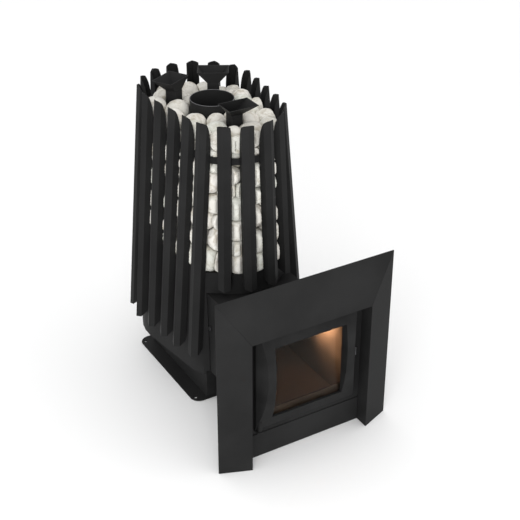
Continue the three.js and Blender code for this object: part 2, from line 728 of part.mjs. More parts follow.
const backDuctX = STEAM_DUCT_REACH * Math.sin(BACK_FUNNEL_ANGLE);
const backDuctY = STEAM_DUCT_REACH * Math.cos(BACK_FUNNEL_ANGLE);
const frontShift = FRONT_FUNNEL_REACH - STEAM_DUCT_REACH;
const backShift = BACK_FUNNEL_REACH - STEAM_DUCT_REACH;
const funnelPlaces = [
  { label: "front", x: 0, y: -STEAM_DUCT_REACH, turn: Math.PI, rimShift: frontShift },
  { label: "left", x: -backDuctX, y: backDuctY, turn: BACK_FUNNEL_ANGLE, rimShift: backShift },
  { label: "right", x: backDuctX, y: backDuctY, turn: -BACK_FUNNEL_ANGLE, rimShift: backShift },
];
for (const { label, x, y, turn, rimShift } of funnelPlaces) {
  const funnel = addPiece("funnel_" + label, funnelGeometry(rimShift), blackPaint);
  const duct = addPiece("steam_duct_" + label, steamDuctGeometry(), blackPaint);
  for (const mesh of [funnel, duct]) {
    mesh.position.set(x, y, 0);
    mesh.rotation.z = turn;
  }
}

// Stones: cobbles set in rows against the slats and heaped on top, bedded on a core
function stoneHash(seed) {
  const wave = Math.sin(seed * 12.9898) * 43758.5453;
  return wave - Math.floor(wave);
}

function cobble(seed, x, y, z) {
  const stone = new THREE.DodecahedronGeometry(STONE_RADIUS, 0);
  const squash = (shift) => 0.8 + 0.2 * stoneHash(seed + shift);
  stone.scale(squash(0.1), squash(0.2), squash(0.3));
  stone.rotateX(Math.PI * stoneHash(seed + 0.4));
  stone.rotateZ(Math.PI * stoneHash(seed + 0.5));
  return toSolid(stone.translate(x, y, z));
}

function stonePath(distance, z, inset) {
  const { point, normal } = ridgeAt(distance);
  return point.add(splayAt(normal, z)).addScaledVector(normal, -SLAT_DEPTH - inset);
}

function coreLoop(z, inset) {
  const loop = [];
  const steps = 2 * SLAT_COUNT;
  for (let i = 0; i < steps; i++) {
    const p = stonePath((i * 2 * halfGirth) / steps, z, inset);
    loop.push(new THREE.Vector3(p.x, p.y, z));
  }
  return loop.reverse();
}

const stoneInset = STONE_RADIUS + STONE_CLEARANCE;
const coreInset = stoneInset + STONE_SINK;
const stoneFootZ = shelfTopZ + GAP;
const stoneGirth = 2 * halfGirth - 2 * Math.PI * (SLAT_DEPTH + stoneInset);
const stonesInRow = Math.round(stoneGirth / STONE_PITCH);
const heapZ = STONE_CORE_TOP_Z + STONE_HEAP_RISE;
const rowCount = Math.floor((heapZ - stoneFootZ - STONE_RADIUS) / STONE_ROW) + 1;
const stonePlaces = [];
for (let row = 0; row < rowCount; row++) {
  const z = heapZ - row * STONE_ROW;
  for (let i = 0; i < stonesInRow; i++) {
    const run = ((i + (row % 2) / 2) * 2 * halfGirth) / stonesInRow;
    const p = stonePath(run, z, stoneInset);
    stonePlaces.push(new THREE.Vector3(p.x, p.y, z));
  }
}
for (let i = 0; i < stonesInRow; i++) {
  const p = stonePath((i * 2 * halfGirth) / stonesInRow, heapZ, stoneInset + STONE_PITCH);
  if (p.length() > flueRadius + STONE_RADIUS) {
    stonePlaces.push(new THREE.Vector3(p.x, p.y, heapZ));
  }
}

// What the stones leave clear: chamber, flue, funnels and ducts
const chamberClear = obround(chamberRadius + LOOSE_FIT, CHAMBER_BACK_Y, CHAMBER_FRONT_Y);
const flueClear = circle(flueRadius + LOOSE_FIT);
const ductClear = STEAM_DUCT_WIDTH / 2 + GAP;
const stoneCuts = [
  toSolid(upright(chamberClear, shelfZ, lidTopZ + GAP, 8)),
  toSolid(upright(flueClear, shelfZ, FLUE_RIM_Z + OVERCUT, 12)),
];
for (const { x, y, turn, rimShift } of funnelPlaces) {
  const hopper = loft(
    [
      squareLoop(ductClear, ductClear, shelfZ),
      squareLoop(ductClear, ductClear, funnelFootZ - LOOSE_FIT),
      squareLoop(funnelX + LOOSE_FIT, funnelY + LOOSE_FIT, FUNNEL_RIM_Z - LOOSE_FIT, rimShift),
    ],
    true,
  );
  stoneCuts.push(toSolid(hopper.rotateZ(turn).translate(x, y, 0)));
}

// The bed lies in two halves; a stone on the middle plane is shared between them
const stoneCore = toSolid(
  loft([coreLoop(stoneFootZ, coreInset), coreLoop(STONE_CORE_TOP_Z, coreInset)], true),
);
const bedReach = BACK_RADIUS + SLAT_TOP_Z * (Math.tan(SPLAY) + Math.tan(FLANK_SPLAY));
const bedBackY = BACK_CENTRE_Y + bedReach;
for (const [side, name, x0, x1] of [
  [-1, "stones_left", -bedReach, -GAP],
  [1, "stones_right", GAP, bedReach],
]) {
  let bed = stoneCore;
  stonePlaces.forEach((p, i) => {
    if (side * p.x > -STONE_RADIUS / 2) {
      bed = bed.add(cobble(i + 1, p.x, p.y, p.z));
    }
  });
  for (const cut of stoneCuts) {
    bed = bed.subtract(cut);
  }
  const half = blockSolid(x0, x1, jacketFrontY, bedBackY, stoneFootZ, FUNNEL_RIM_Z);
  addPiece(name, toGeometry(bed.intersect(half)), paleStone);
}

// Portal: a folded front sheet with its return, mitred at the two upper corners
function foldedSection(outer, inner, backY) {
  const slope = new THREE.Vector2(inner[0] - outer[0], inner[1] - outer[1]).normalize();
  const into = new THREE.Vector2(-slope.y, slope.x);
  if (into.y < 0) {
    into.negate();
  }
  const sign = Math.sign(outer[0] - inner[0]);
  const innerWall = inner[0] + sign * PORTAL_SHEET;
  const start = [outer[0] + into.x * PORTAL_SHEET, outer[1] + into.y * PORTAL_SHEET];
  const fold = start[1] + ((innerWall - start[0]) * slope.y) / slope.x;
  return [outer, inner, [inner[0], backY], [innerWall, backY], [innerWall, fold], start];
}

// The top bar's share of the front, in x and z, moved in by a gap
function mitreShape(gap) {
  const openX = PORTAL_OPENING_WIDTH / 2;
  const edgeX = PORTAL_WIDTH / 2;
  const fall = (PORTAL_HEIGHT - PORTAL_OPENING_TOP_Z) / (edgeX - openX);
  const lowZ = PORTAL_OPENING_TOP_Z - OVERCUT;
  const highZ = PORTAL_HEIGHT + OVERCUT;
  const lowX = openX - OVERCUT / fall - gap;
  const highX = edgeX + OVERCUT / fall - gap;
  return polygon([
    [-lowX, lowZ],
    [lowX, lowZ],
    [highX, highZ],
    [-highX, highZ],
  ]);
}

const mitreFrontY = portalInnerY - OVERCUT;
const mitreBackY = portalBackY + OVERCUT;
for (const [side, name] of [
  [-1, "portal_left_leg"],
  [1, "portal_right_leg"],
]) {
  const outer = [(side * PORTAL_WIDTH) / 2, PORTAL_EDGE_Y];
  const inner = [(side * PORTAL_OPENING_WIDTH) / 2, portalInnerY];
  const leg = toSolid(upright(polygon(foldedSection(outer, inner, portalBackY)), 0, PORTAL_HEIGHT));
  const bevel = toSolid(facingFront(mitreShape(-GAP / 2), mitreFrontY, mitreBackY));
  addPiece(name, toGeometry(leg.subtract(bevel)), blackPaint);
}
const barOuter = [PORTAL_HEIGHT, PORTAL_EDGE_Y];
const barInner = [PORTAL_OPENING_TOP_Z, portalInnerY];
const barSection = foldedSection(barOuter, barInner, portalBackY).map(([z, y]) => [y, z]);
const bar = toSolid(crossways(polygon(barSection), -PORTAL_WIDTH / 2, PORTAL_WIDTH / 2));
const barBevel = toSolid(facingFront(mitreShape(GAP / 2), mitreFrontY, mitreBackY));
addPiece("portal_top_bar", toGeometry(bar.intersect(barBevel)), blackPaint);

// Collar with the fire mouth and the drawer's slot
const collarShape = rectangle(-COLLAR_WIDTH / 2, COLLAR_WIDTH / 2, COLLAR_FOOT_Z, COLLAR_TOP_Z);
const mouthX = tunnelX - TUNNEL_SHEET;
collarShape.holes.push(
  rectangle(-mouthX, mouthX, tunnelFootZ + TUNNEL_SHEET, tunnelTopZ - TUNNEL_SHEET),
);
collarShape.holes.push(rectangle(-slotX, slotX, slotFootZ, slotTopZ));
addPiece("tunnel_collar", facingFront(collarShape, collarFrontY, collarBackY), blackPaint);

// Door frame: bowed from foot to top, bevelled towards its outer edges
const doorX = DOOR_WIDTH / 2;
const doorEdgeY = doorBackY - DOOR_EDGE_DEPTH;
const bowCentreY = doorCrownY + DOOR_BOW_RADIUS;
const bowSteps = 16;
const bowOutline = [
  [doorBackY, DOOR_TOP_Z],
  [doorBackY, DOOR_FOOT_Z],
];
for (let i = 0; i <= bowSteps; i++) {
  const z = DOOR_FOOT_Z + ((DOOR_TOP_Z - DOOR_FOOT_Z) * i) / bowSteps;
  bowOutline.push([bowCentreY - Math.sqrt(DOOR_BOW_RADIUS ** 2 - (z - DOOR_BOW_CENTRE_Z) ** 2), z]);
}
const doorPlan = polygon([
  [-doorX, doorBackY - DOOR_HEEL],
  [-doorX, doorEdgeY],
  [-DOOR_RIDGE_WIDTH / 2, doorCrownY],
  [DOOR_RIDGE_WIDTH / 2, doorCrownY],
  [doorX, doorEdgeY],
  [doorX, doorBackY],
  [-doorX + DOOR_HEEL, doorBackY],
]);
let doorFrame = toSolid(crossways(polygon(bowOutline), -doorX, doorX));
doorFrame = doorFrame.intersect(toSolid(upright(doorPlan, DOOR_FOOT_Z, DOOR_TOP_Z)));
const boss = circle(BOSS_DIAMETER / 2, hingeX, hingeY);
doorFrame = doorFrame.add(toSolid(upright(boss, DOOR_FOOT_Z, DOOR_FOOT_Z + BOSS_HEIGHT, 6)));
const windowX = WINDOW_WIDTH / 2;
doorFrame = doorFrame.subtract(
  blockSolid(
    -windowX,
    windowX,
    doorCrownY - OVERCUT,
    doorBackY + OVERCUT,
    WINDOW_FOOT_Z,
    WINDOW_TOP_Z,
  ),
);
const seatX = windowX + GLASS_LAP + GAP;
const seatFootZ = WINDOW_FOOT_Z - GLASS_LAP - GAP;
const seatTopZ = WINDOW_TOP_Z + GLASS_LAP + GAP;
const seatY = doorBackY - GLASS_SEAT_DEPTH;
doorFrame = doorFrame.subtract(
  blockSolid(-seatX, seatX, seatY, doorBackY + OVERCUT, seatFootZ, seatTopZ),
);

// Rope gasket in a groove round the back of the frame
function gasketShape(clearance) {
  const outerX = doorX - GASKET_FROM_SIDE + clearance;
  const footZ = DOOR_FOOT_Z + GASKET_FROM_END - clearance;
  const topZ = DOOR_TOP_Z - GASKET_FROM_END + clearance;
  const width = GASKET_WIDTH + 2 * clearance;
  const shape = rectangle(-outerX, outerX, footZ, topZ);
  shape.holes.push(rectangle(-outerX + width, outerX - width, footZ + width, topZ - width));
  return shape;
}

const grooveY = doorBackY - GASKET_GROOVE;
doorFrame = doorFrame.subtract(
  toSolid(facingFront(gasketShape(GAP), grooveY - GAP, doorBackY + OVERCUT)),
);
addPiece("door_gasket", facingFront(gasketShape(0), grooveY, collarFrontY - GAP), ropeSeal);

// Hinge pins: each stands in a bracket on the collar and reaches into the frame
const boreRadius = PIN_DIAMETER / 2 + PIN_CLEARANCE;
for (const [z0, z1] of [
  [DOOR_FOOT_Z - OVERCUT, DOOR_FOOT_Z + PIN_ENGAGEMENT + GAP],
  [DOOR_TOP_Z - PIN_ENGAGEMENT - GAP, DOOR_TOP_Z + OVERCUT],
]) {
  doorFrame = doorFrame.subtract(toSolid(upright(circle(boreRadius, hingeX, hingeY), z0, z1, 6)));
}
addPiece("door_frame", toGeometry(doorFrame), blackPaint);

function bracketGeometry(z0) {
  const half = BRACKET_WIDTH / 2;
  const shape = new THREE.Shape();
  shape.moveTo(hingeX + half, collarFrontY - GAP);
  shape.lineTo(hingeX - half, collarFrontY - GAP);
  shape.absarc(hingeX, hingeY, half, Math.PI, 2 * Math.PI, false);
  shape.holes.push(circle(PIN_DIAMETER / 2 + GAP, hingeX, hingeY));
  return upright(shape, z0, z0 + BRACKET_THICK, 6);
}

const lowerBracketZ = DOOR_FOOT_Z - BRACKET_GAP - BRACKET_THICK;
const upperBracketZ = DOOR_TOP_Z + BRACKET_GAP;
addPiece("hinge_bracket_lower", bracketGeometry(lowerBracketZ), blackPaint);
addPiece("hinge_bracket_upper", bracketGeometry(upperBracketZ), blackPaint);
const pinShape = circle(PIN_DIAMETER / 2, hingeX, hingeY);
addPiece(
  "hinge_pin_lower",
  upright(pinShape, lowerBracketZ - PIN_HEAD, DOOR_FOOT_Z + PIN_ENGAGEMENT, 6),
  bareSteel,
);
addPiece(
  "hinge_pin_upper",
  upright(
    pinShape,
    DOOR_TOP_Z - PIN_ENGAGEMENT,
    upperBracketZ + BRACKET_THICK + PIN_HEAD,
    6,
  ),
  bareSteel,
);

// Glass and the two strips that hold it
const glassX = seatX - GAP;
const glassFrontY = seatY + GAP;
const glassBackY = glassFrontY + GLASS_THICK;
addPiece(
  "door_glass",
  block(-glassX, glassX, glassFrontY, glassBackY, seatFootZ + GAP, seatTopZ - GAP),
  tintedGlass,
);
const stripY = glassBackY + GAP;
const stripBackY = stripY + RETAINER_THICK;
const glassFootZ = seatFootZ + GAP;
const glassTopZ = seatTopZ - GAP;
addPiece(
  "glass_retainer_top",
  block(-glassX, glassX, stripY, stripBackY, glassTopZ - RETAINER_TOP_HEIGHT, glassTopZ),
  castIron,
);
addPiece(
  "glass_retainer_foot",
  block(-glassX, glassX, stripY, stripBackY, glassFootZ, glassFootZ + RETAINER_FOOT_HEIGHT),
  castIron,
);

// Spring catch on the collar, beside the door's free edge
const catchX = doorX + CATCH_GAP;
const catchZ = (DOOR_FOOT_Z + DOOR_TOP_Z) / 2;
const catchFrontY = collarFrontY - GAP - CATCH_REACH;
const catchShape = new THREE.Shape();
const catchRadius = CATCH_WIDTH / 2;
const catchMiddleX = catchX + catchRadius;
catchShape.absarc(catchMiddleX, catchFrontY + catchRadius, catchRadius, Math.PI, 2 * Math.PI, false);
catchShape.lineTo(catchX + CATCH_WIDTH, collarFrontY - GAP);
catchShape.lineTo(catchX, collarFrontY - GAP);
const catchFootZ = catchZ - CATCH_HEIGHT / 2;
addPiece("door_catch", upright(catchShape, catchFootZ, catchFootZ + CATCH_HEIGHT, 4), bareSteel);

// Ash drawer: a long open tray behind a front panel
const drawerFrontX = PORTAL_OPENING_WIDTH / 2 - LOOSE_FIT;
const drawerBackY = portalBackY;
const trayX = TRAY_WIDTH / 2;
const panel = blockSolid(
  -drawerFrontX,
  drawerFrontX,
  drawerBackY - DRAWER_FRONT_THICK,
  drawerBackY,
  DRAWER_FRONT_FOOT_Z,
  DRAWER_FRONT_FOOT_Z + DRAWER_FRONT_HEIGHT,
);
const trayBackY = drawerBackY + TRAY_LENGTH;
const trayTopZ = TRAY_FOOT_Z + TRAY_HEIGHT;
const tray = blockSolid(
  -trayX,
  trayX,
  drawerBackY - DRAWER_FRONT_THICK / 2,
  trayBackY,
  TRAY_FOOT_Z,
  trayTopZ,
);
const trayHollow = blockSolid(
  -trayX + TRAY_SHEET,
  trayX - TRAY_SHEET,
  drawerBackY,
  trayBackY - TRAY_SHEET,
  TRAY_FOOT_Z + TRAY_SHEET,
  trayTopZ + OVERCUT,
);
addPiece("ash_drawer", toGeometry(panel.add(tray).subtract(trayHollow)), blackPaint);

export default stove;
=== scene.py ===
"""Looks of a wood-fired sauna stove: slatted stone basket, fire tunnel, portal, glazed fire door."""

import math

import bmesh
import bpy
import numpy as np
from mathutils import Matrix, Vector, noise


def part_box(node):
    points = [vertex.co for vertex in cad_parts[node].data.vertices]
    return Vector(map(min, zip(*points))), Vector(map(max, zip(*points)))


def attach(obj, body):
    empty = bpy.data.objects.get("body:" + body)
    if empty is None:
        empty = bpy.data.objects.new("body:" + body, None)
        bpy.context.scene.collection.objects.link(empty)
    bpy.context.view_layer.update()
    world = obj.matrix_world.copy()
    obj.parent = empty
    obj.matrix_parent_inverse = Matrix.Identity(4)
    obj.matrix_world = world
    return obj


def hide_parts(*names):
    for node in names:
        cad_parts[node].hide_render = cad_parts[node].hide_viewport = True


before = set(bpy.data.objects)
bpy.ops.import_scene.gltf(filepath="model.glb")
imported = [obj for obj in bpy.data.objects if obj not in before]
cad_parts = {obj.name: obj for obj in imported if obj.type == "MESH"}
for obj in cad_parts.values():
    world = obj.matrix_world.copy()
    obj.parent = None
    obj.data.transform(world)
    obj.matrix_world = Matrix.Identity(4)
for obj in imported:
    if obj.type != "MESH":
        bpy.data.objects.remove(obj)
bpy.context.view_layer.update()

# Base plate: a 4 mm steel sheet on the floor with rounded corners and a bolt hole in each.
# Cut by laser, welded under the pedestal and sprayed with satin heat-proof black paint.
BLACK_TONE = (0.0195, 0.0195, 0.0196)
BLACK_SPECULAR = 0.03
SHEET_EDGE_ROUND = 0.0007
CORNERS_JOIN_WITHIN = 0.00001
FOLD_SHARP_ABOVE = math.radians(32)
FLAT_WITHIN = math.radians(0.5)
EDGE_BROKEN_ABOVE = math.radians(40)


def shaded(tone, factor):
    """A tone made lighter or darker, as an opaque colour."""
    return (tone[0] * factor, tone[1] * factor, tone[2] * factor, 1)


def new_finish(name):
    """A new material and its surface shader."""
    material = bpy.data.materials.new(name)
    material.use_nodes = True
    return material, material.node_tree.nodes["Principled BSDF"]


def speckle(material, per_metre, detail):
    """A noise texture that keeps its place on the piece."""
    place = material.node_tree.nodes.new("ShaderNodeTexCoord")
    texture = material.node_tree.nodes.new("ShaderNodeTexNoise")
    texture.inputs["Scale"].default_value = per_metre
    texture.inputs["Detail"].default_value = detail
    material.node_tree.links.new(place.outputs["Object"], texture.inputs["Vector"])
    return texture


def toned(material, texture, low, low_tone, high, high_tone):
    """The colour that runs from one tone to another between two values of a texture."""
    tones = material.node_tree.nodes.new("ShaderNodeValToRGB")
    tones.color_ramp.elements[0].position = low
    tones.color_ramp.elements[0].color = low_tone
    tones.color_ramp.elements[1].position = high
    tones.color_ramp.elements[1].color = high_tone
    material.node_tree.links.new(texture.outputs["Fac"], tones.inputs["Fac"])
    return tones.outputs["Color"]


def relief(material, texture, strength, depth):
    """The surface direction that lets a texture stand out as fine relief."""
    bump = material.node_tree.nodes.new("ShaderNodeBump")
    bump.inputs["Strength"].default_value = strength
    bump.inputs["Distance"].default_value = depth
    material.node_tree.links.new(texture.outputs["Fac"], bump.inputs["Height"])
    return bump.outputs["Normal"]


def patchy_material(
    name, dark, light, roughness, patches, grain, grain_depth, metallic=0.0, specular=0.5
):
    """A surface whose colour and gloss drift in patches, with a fine grain; both are counts per metre."""
    material, shader = new_finish(name)
    links = material.node_tree.links
    shader.inputs["Metallic"].default_value = metallic
    shader.inputs["Specular IOR Level"].default_value = specular
    drift = speckle(material, patches, 5)
    links.new(toned(material, drift, 0.35, dark, 0.68, light), shader.inputs["Base Color"])
    gloss = material.node_tree.nodes.new("ShaderNodeMapRange")
    gloss.inputs["From Min"].default_value = 0.3
    gloss.inputs["From Max"].default_value = 0.7
    gloss.inputs["To Min"].default_value = roughness[0]
    gloss.inputs["To Max"].default_value = roughness[1]
    links.new(drift.outputs["Fac"], gloss.inputs["Value"])
    links.new(gloss.outputs["Result"], shader.inputs["Roughness"])
    fine_grain = speckle(material, grain, 3)
    links.new(relief(material, fine_grain, 0.35, grain_depth), shader.inputs["Normal"])
    return material


satin_black = patchy_material(
    "satin_black_paint",
    dark=shaded(BLACK_TONE, 0.86),
    light=shaded(BLACK_TONE, 1.16),
    roughness=(0.40, 0.52),
    patches=7,
    grain=900,
    grain_depth=0.0003,
    specular=BLACK_SPECULAR,
)


def soft_fold_group():
    """Geometry nodes that join the corners of a solid's faces and shade its gentle folds as curves."""
    group = bpy.data.node_groups.new("soft_folds", "GeometryNodeTree")
    group.interface.new_socket("Geometry", in_out="INPUT", socket_type="NodeSocketGeometry")
    group.interface.new_socket("Geometry", in_out="OUTPUT", socket_type="NodeSocketGeometry")
    nodes = group.nodes
    links = group.links
    start = nodes.new("NodeGroupInput")
    plain = nodes.new("GeometryNodeRemoveAttribute")
    plain.inputs["Name"].default_value = "custom_normal"
    joined = nodes.new("GeometryNodeMergeByDistance")
    joined.inputs["Distance"].default_value = CORNERS_JOIN_WITHIN
    rounded = nodes.new("GeometryNodeSetShadeSmooth")
    rounded.domain = "FACE"
    fold = nodes.new("GeometryNodeInputMeshEdgeAngle")
    sharp = nodes.new("FunctionNodeCompare")
    sharp.data_type = "FLOAT"
    sharp.operation = "GREATER_THAN"
    sharp.inputs[1].default_value = FOLD_SHARP_ABOVE
    creased = nodes.new("GeometryNodeSetShadeSmooth")
    creased.domain = "EDGE"
    creased.inputs["Shade Smooth"].default_value = False
    end = nodes.new("NodeGroupOutput")
    links.new(start.outputs[0], plain.inputs["Geometry"])
    links.new(plain.outputs["Geometry"], joined.inputs["Geometry"])
    links.new(joined.outputs["Geometry"], rounded.inputs["Geometry"])
    links.new(rounded.outputs["Geometry"], creased.inputs["Geometry"])
    links.new(fold.outputs["Unsigned Angle"], sharp.inputs[0])
    links.new(sharp.outputs["Result"], creased.inputs["Selection"])
    links.new(creased.outputs["Geometry"], end.inputs[0])
    return group


soft_folds = soft_fold_group()


def finish_solid(node, material, edge_round=0.0):
    """A solid of the frame keeps its shape and gets its finish; edges are broken where asked."""
    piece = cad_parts[node]
    piece.data.materials.clear()
    piece.data.materials.append(material)
    joining = piece.modifiers.new("joined faces", "NODES")
    joining.node_group = soft_folds
    if edge_round:
        flats = piece.modifiers.new("whole flats", "DECIMATE")
        flats.decimate_type = "DISSOLVE"
        flats.angle_limit = FLAT_WITHIN
        broken_edge = piece.modifiers.new("broken edges", "BEVEL")
        broken_edge.width = edge_round
        broken_edge.segments = 2
        broken_edge.limit_method = "ANGLE"
        broken_edge.angle_limit = EDGE_BROKEN_ABOVE
        broken_edge.use_clamp_overlap = True
    return piece


finish_solid("base_plate", satin_black, SHEET_EDGE_ROUND)

# Pedestal and ash duct: folded sheet boxes that carry the firebox and guide the drawer.
# Welded to the base plate and to each other, painted like the plate.
for node in ("pedestal", "ash_duct"):
    finish_solid(node, satin_black, SHEET_EDGE_ROUND)

# Firebox: thick rolled sheet with a flat floor, blackened and browned by the fire.
# The grate is a slotted iron casting that lies loose over the opening in the floor.
GRATE_EDGE_ROUND = 0.0015
scaled_steel = patchy_material(
    "scaled_steel",
    dark=(0.030, 0.024, 0.020, 1),
    light=(0.085, 0.066, 0.052, 1),
    roughness=(0.5, 0.75),
    patches=14,
    grain=420,
    grain_depth=0.0006,
    metallic=0.35,
)
grate_iron = patchy_material(
    "grate_iron",
    dark=(0.016, 0.014, 0.013, 1),
    light=(0.05, 0.044, 0.04, 1),
    roughness=(0.6, 0.85),
    patches=30,
    grain=500,
    grain_depth=0.0009,
    metallic=0.3,
)
for node in ("firebox_floor", "firebox_wall"):
    finish_solid(node, scaled_steel)
finish_solid("grate", grate_iron, GRATE_EDGE_ROUND)

# Stone shelf, heat chamber with lid, and flame baffle: the fire's way up through the stones.
# Plain steel plate, welded, and out of sight once the stones are in.
for node in ("stone_shelf", "heat_chamber", "chamber_lid", "baffle"):
    finish_solid(node, scaled_steel)

# Flue stub: a rolled tube with an open rim for the smoke pipe, welded on the chamber's lid.
# The rim is turned smooth, so it shows as a thin bright line around the dark bore.
FLUE_SHEET = 0.002
RIM_ROUND = 0.0008
FLUE_STEPS = 96
RIM_STRETCHES = (1, 2, 3)
CURVE_SMOOTH_BELOW = math.radians(40)


def placed_mesh(name, mesh):
    """Turns a finished bmesh into a piece, with curves shaded smooth and sharp edges kept."""
    bmesh.ops.recalc_face_normals(mesh, faces=mesh.faces)
    for face in mesh.faces:
        face.smooth = True
    for edge in mesh.edges:
        edge.smooth = edge.calc_face_angle(0) < CURVE_SMOOTH_BELOW
    data = bpy.data.meshes.new(name)
    mesh.to_mesh(data)
    mesh.free()
    piece = bpy.data.objects.new(name, data)
    bpy.context.scene.collection.objects.link(piece)
    return piece


def turned_tube(name, radius, bore, foot, top, edge):
    """A tube from a closed profile turned about the flue's axis, with broken rim edges."""
    profile = [
        (radius, foot),
        (radius, top - edge),
        (radius - edge, top),
        (bore + edge, top),
        (bore, top - edge),
        (bore, foot),
    ]
    mesh = bmesh.new()
    rings = []
    for step in range(FLUE_STEPS):
        angle = 2 * math.pi * step / FLUE_STEPS
        rings.append(
            [mesh.verts.new((r * math.cos(angle), r * math.sin(angle), z)) for r, z in profile]
        )
    for step in range(FLUE_STEPS):
        here = rings[step]
        there = rings[(step + 1) % FLUE_STEPS]
        for i in range(len(profile)):
            k = (i + 1) % len(profile)
            face = mesh.faces.new((here[i], there[i], there[k], here[k]))
            face.material_index = 1 if i in RIM_STRETCHES else 0
    return placed_mesh(name, mesh)


flue_low, flue_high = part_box("flue_stub")
flue_radius = flue_high.x
flue = turned_tube(
    "flue_tube", flue_radius, flue_radius - FLUE_SHEET, flue_low.z, flue_high.z, RIM_ROUND
)
turned_rim = patchy_material(
    "turned_rim",
    dark=(0.10, 0.10, 0.105, 1),
    light=(0.17, 0.17, 0.175, 1),
    roughness=(0.35, 0.5),
    patches=40,
    grain=700,
    grain_depth=0.0002,
    metallic=0.4,
)
flue.data.materials.append(satin_black)
flue.data.materials.append(turned_rim)
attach(flue, "stove")
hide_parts("flue_stub")

# Jacket: one sheet rolled to the basket's wedge-shaped plan, open below, cut out for the tunnel.
# It screens the firebox and carries the lower halves of the slats.
finish_solid("jacket", satin_black)

# Slats: strips of sheet folded to a blunt nose, their tops cut off in a long bow.
# They stand all round the stones, lean out towards the floor and are welded to jacket and ring.
SLAT_COUNT = 21
SLAT_EDGE_ROUND = 0.0006
slat_nodes = [f"slat_{number:02d}" for number in range(1, SLAT_COUNT + 1)]
for node in slat_nodes:
    finish_solid(node, satin_black, SLAT_EDGE_ROUND)

# Ring band: a flat strip bent round the inside of the slats just below their bowed tops.
# Spot-welded to every slat, it keeps the basket from spreading under the stones.
finish_solid("upper_ring", satin_black)

# Steam ducts and water funnels: square tubes down through the stones with folded hoppers on top.
# Water poured into a funnel, whose spigot sits in its duct, runs to the hot stones below.
for place in ("front", "left", "right"):
    finish_solid("steam_duct_" + place, satin_black, SHEET_EDGE_ROUND)
    finish_solid("funnel_" + place, satin_black)

# Stones: tumbled pale quarry stones, fist-sized, packed by hand between chamber, flue and slats
# and heaped round the funnels. Each is a worn lump that lies close against its neighbours.
STONE_SEED = 11
STONE_COUNT = 320
STONE_RADIUS_SMALL = 0.021
STONE_RADIUS_LARGE = 0.040
STONE_GAP = 0.0006
SETTLING_STEPS = 220
SETTLING_PUSH = 0.24
NEVER_ZERO = 1e-9  # added to distances that are divided by

# Where the stones may lie: behind slats and ring, with a bulge between the slats, and heaped on top.
SLAT_HALF_WIDTH = 0.017
STONE_BEHIND_SLATS = 0.0015
STONE_BEHIND_RING = 0.0085
RING_MARGIN = 0.002
STONE_BULGE = 0.010
BULGE_SHOULDER = 0.006
BULGE_END_BELOW_RING = 0.005
BULGE_WHILE_SETTLING = 1.3  # in bulges
POST_REACH = 0.9  # how much of a stone's radius keeps clear of chamber, flue and ducts
DUCT_KEEP_CLEAR = 0.0215
LID_KEEP_CLEAR = 0.012
HEAP_TOP = 0.804
HEAP_DIP = 0.038
HEAP_DIP_REACH = 0.075
HEAP_DIP_BEHIND_DUCT = 0.03

# How a stone is worn: wear, reaches, depths and ripples are shares of its radius.
STONE_EDGE_WEAR = 0.035
STONE_CORNER_REACH = 1.06
HEAP_STONE_REACH = 1.04
NEIGHBOUR_REACH = 2.6  # of the largest stone's radius
FLAT_LEAST_DEPTH = 0.3
FLAT_FARTHEST = 9
FLAT_LEAST_TURN = 0.05  # cosine between a flat's direction and a point's
CHIP_COUNT = 7
CHIP_DEPTHS = (0.84, 1.1)
RIPPLE_MEAN = 0.98
RIPPLE_BROAD = 0.03
RIPPLE_FINE = 0.012
RIPPLE_BROAD_RATE = 2.3  # noise steps to a radius
RIPPLE_FINE_RATE = 7
RIPPLE_SPREAD = 50  # how far apart the stones are drawn from the noise
stone_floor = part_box("stone_shelf")[1].z
chamber_low, chamber_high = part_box("heat_chamber")
chamber_radius = chamber_high.x
lid_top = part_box("chamber_lid")[1].z
ring_foot, ring_top = (corner.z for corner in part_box("upper_ring"))
duct_centres = []
for place in ("front", "left", "right"):
    low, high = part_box("steam_duct_" + place)
    duct_centres.append(((low.x + high.x) / 2, (low.y + high.y) / 2))


def slat_back(node):
    """The plane of a slat's inner edges, outward, and the way across it from its middle."""
    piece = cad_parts[node]
    corners = np.array([piece.matrix_world @ corner.co for corner in piece.data.vertices])
    corners = np.unique(corners.round(5), axis=0)
    ridge_foot = corners[corners[:, 2].argmin()]
    along = corners[corners[:, 2].argmax()] - ridge_foot
    along /= np.linalg.norm(along)
    inwards = (corners - ridge_foot).mean(0)
    inwards -= along * (inwards @ along)
    inwards /= np.linalg.norm(inwards)
    depth = ((corners - ridge_foot) @ inwards).max()
    across = np.cross(along, inwards)
    return -inwards, -inwards @ (ridge_foot + inwards * depth), across, across @ ridge_foot


slat_backs = [slat_back(node) for node in slat_nodes]
slat_facings = np.array([back[0] for back in slat_backs])
slat_distances = np.array([back[1] for back in slat_backs])
slat_acrosses = np.array([back[2] for back in slat_backs])
slat_middles = np.array([back[3] for back in slat_backs])


def behind_slats(points):
    """Draws points in behind slats and ring; below the ring they may bulge out between the slats."""
    outward = points @ slat_facings.T - slat_distances
    aside = np.abs(points @ slat_acrosses.T - slat_middles)
    free = np.clip((aside - SLAT_HALF_WIDTH - STONE_BEHIND_SLATS) / BULGE_SHOULDER, 0, 1)
    height = points[:, 2:]
    free *= np.clip((ring_foot - RING_MARGIN - height) / BULGE_END_BELOW_RING, 0, 1)
    at_ring = (height > ring_foot - RING_MARGIN) & (height < ring_top + RING_MARGIN)
    limit = np.where(at_ring, -STONE_BEHIND_RING, (STONE_BULGE + STONE_BEHIND_SLATS) * free)
    over = outward - limit + STONE_BEHIND_SLATS
    shift = np.maximum(over.max(1), 0)
    return points - slat_facings[over.argmax(1)] * shift[:, None]


